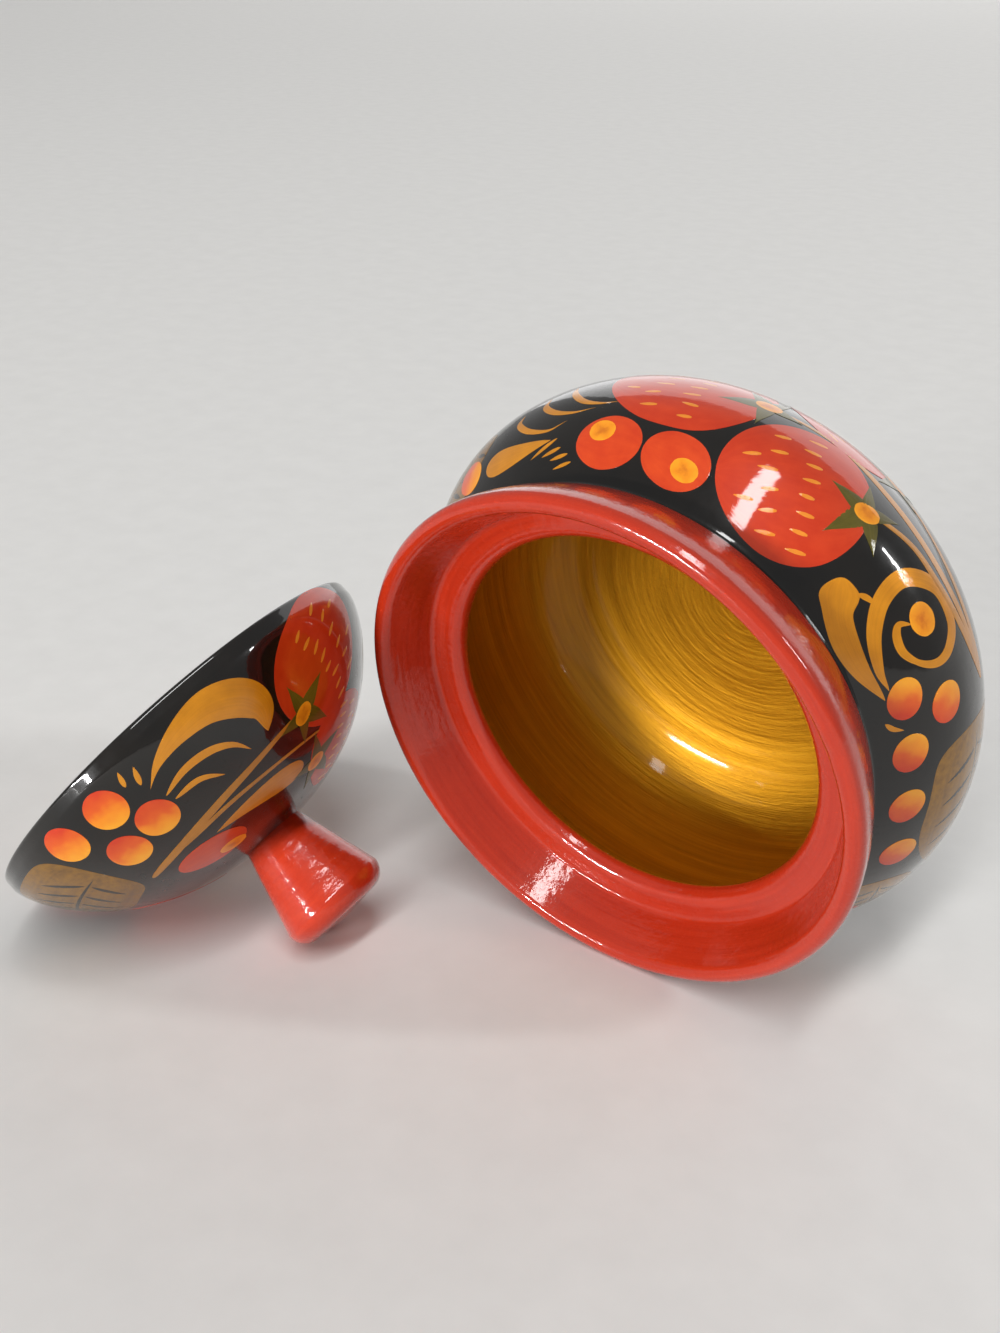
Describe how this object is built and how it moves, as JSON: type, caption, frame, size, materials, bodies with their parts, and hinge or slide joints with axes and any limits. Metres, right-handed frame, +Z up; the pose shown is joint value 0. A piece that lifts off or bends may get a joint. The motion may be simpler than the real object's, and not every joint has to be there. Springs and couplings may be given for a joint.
{
  "type": "lidded jar",
  "caption": "Turned lacquered wooden jar with a round belly, flared rim and gilded inside, lying open beside its domed lift-off lid with a flared knob.",
  "frame": {"origin": "middle of the footprint of the jar and its lid, on the table they lie on", "axes": "+Z up, the jar's mouth faces -Y and dips towards the table, and the lid lies on the -X side"},
  "size_m": [0.175, 0.1416, 0.118],
  "materials": {
    "jar_lacquer": "glossy black lacquer over turned wood, painted with berries and leaves, red rim, gold inside",
    "lid_lacquer": "glossy black lacquer over turned wood, painted with berries and leaves",
    "knob_lacquer": "glossy red lacquer over turned wood"
  },
  "bodies": {
    "jar": {"jar_body": "jar_lacquer"},
    "lid": {"lid": "lid_lacquer", "knob": "knob_lacquer"}
  },
  "joints": [
    {"name": "lid_lift", "type": "slide", "parent": "jar", "child": "lid", "axis": [0, 0, 1], "range_m": [0, 0.13]}
  ]
}
